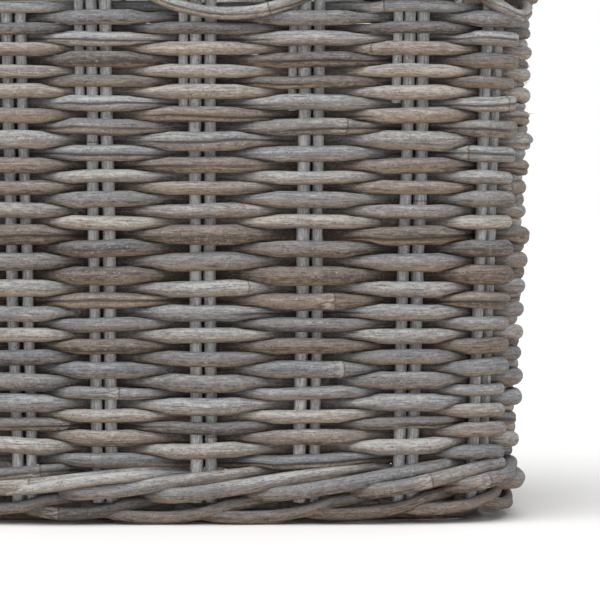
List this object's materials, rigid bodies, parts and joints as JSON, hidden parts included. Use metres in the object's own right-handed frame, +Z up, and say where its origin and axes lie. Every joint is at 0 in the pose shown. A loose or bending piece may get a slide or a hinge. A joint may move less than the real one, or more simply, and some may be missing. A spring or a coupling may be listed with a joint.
{
  "type": "wicker log basket",
  "caption": "Rectangular log basket woven from round grey cane over paired stakes, with a scalloped foot, a rolled rim and a hoop handle at each end.",
  "frame": {"origin": "under the middle of the basket, on the surface that it stands on", "axes": "+Z up, +X along the long wall, the front long wall on -Y"},
  "size_m": [0.4832, 0.3822, 0.5053],
  "materials": {
    "stake_cane": "weathered, pale grey",
    "weaver_cane": "weathered, grey-brown",
    "wale_cane": "weathered, grey-brown",
    "border_cane": "weathered, dark grey",
    "base_cane": "weathered, grey-brown",
    "base_weaver": "weathered, grey-brown",
    "handle_cane": "weathered, grey-brown",
    "handle_wrap": "weathered split cane"
  },
  "bodies": {
    "root": {"stake_pair_01": "stake_cane", "stake_pair_02": "stake_cane", "stake_pair_03": "stake_cane", "stake_pair_04": "stake_cane", "stake_pair_05": "stake_cane", "stake_pair_06": "stake_cane", "stake_pair_07": "stake_cane", "stake_pair_08": "stake_cane", "stake_pair_09": "stake_cane", "stake_pair_10": "stake_cane", "stake_pair_11": "stake_cane", "stake_pair_12": "stake_cane", "stake_pair_13": "stake_cane", "stake_pair_14": "stake_cane", "stake_pair_15": "stake_cane", "stake_pair_16": "stake_cane", "stake_pair_17": "stake_cane", "stake_pair_18": "stake_cane", "stake_pair_19": "stake_cane", "stake_pair_20": "stake_cane", "stake_pair_21": "stake_cane", "stake_pair_22": "stake_cane", "stake_pair_23": "stake_cane", "stake_pair_24": "stake_cane", "round_01": "weaver_cane", "round_02": "weaver_cane", "round_03": "weaver_cane", "round_04": "weaver_cane", "round_05": "weaver_cane", "round_06": "weaver_cane", "round_07": "weaver_cane", "round_08": "weaver_cane", "round_09": "weaver_cane", "round_10": "weaver_cane", "round_11": "weaver_cane", "round_12": "weaver_cane", "round_13": "weaver_cane", "round_14": "weaver_cane", "round_15": "weaver_cane", "round_16": "weaver_cane", "round_17": "weaver_cane", "round_18": "weaver_cane", "round_19": "weaver_cane", "round_20": "weaver_cane", "foot_wale_1": "wale_cane", "foot_wale_2": "wale_cane", "foot_wale_3": "wale_cane", "rim_wale_1": "wale_cane", "rim_wale_2": "wale_cane", "rim_wale_3": "wale_cane", "foot_border": "border_cane", "rim_border": "border_cane", "border_tails": "stake_cane", "base_frame": "base_cane", "base_sticks": "base_cane", "base_weave": "base_weaver", "handle_bows": "handle_cane", "handle_wraps": "handle_wrap"}
  },
  "joints": []
}
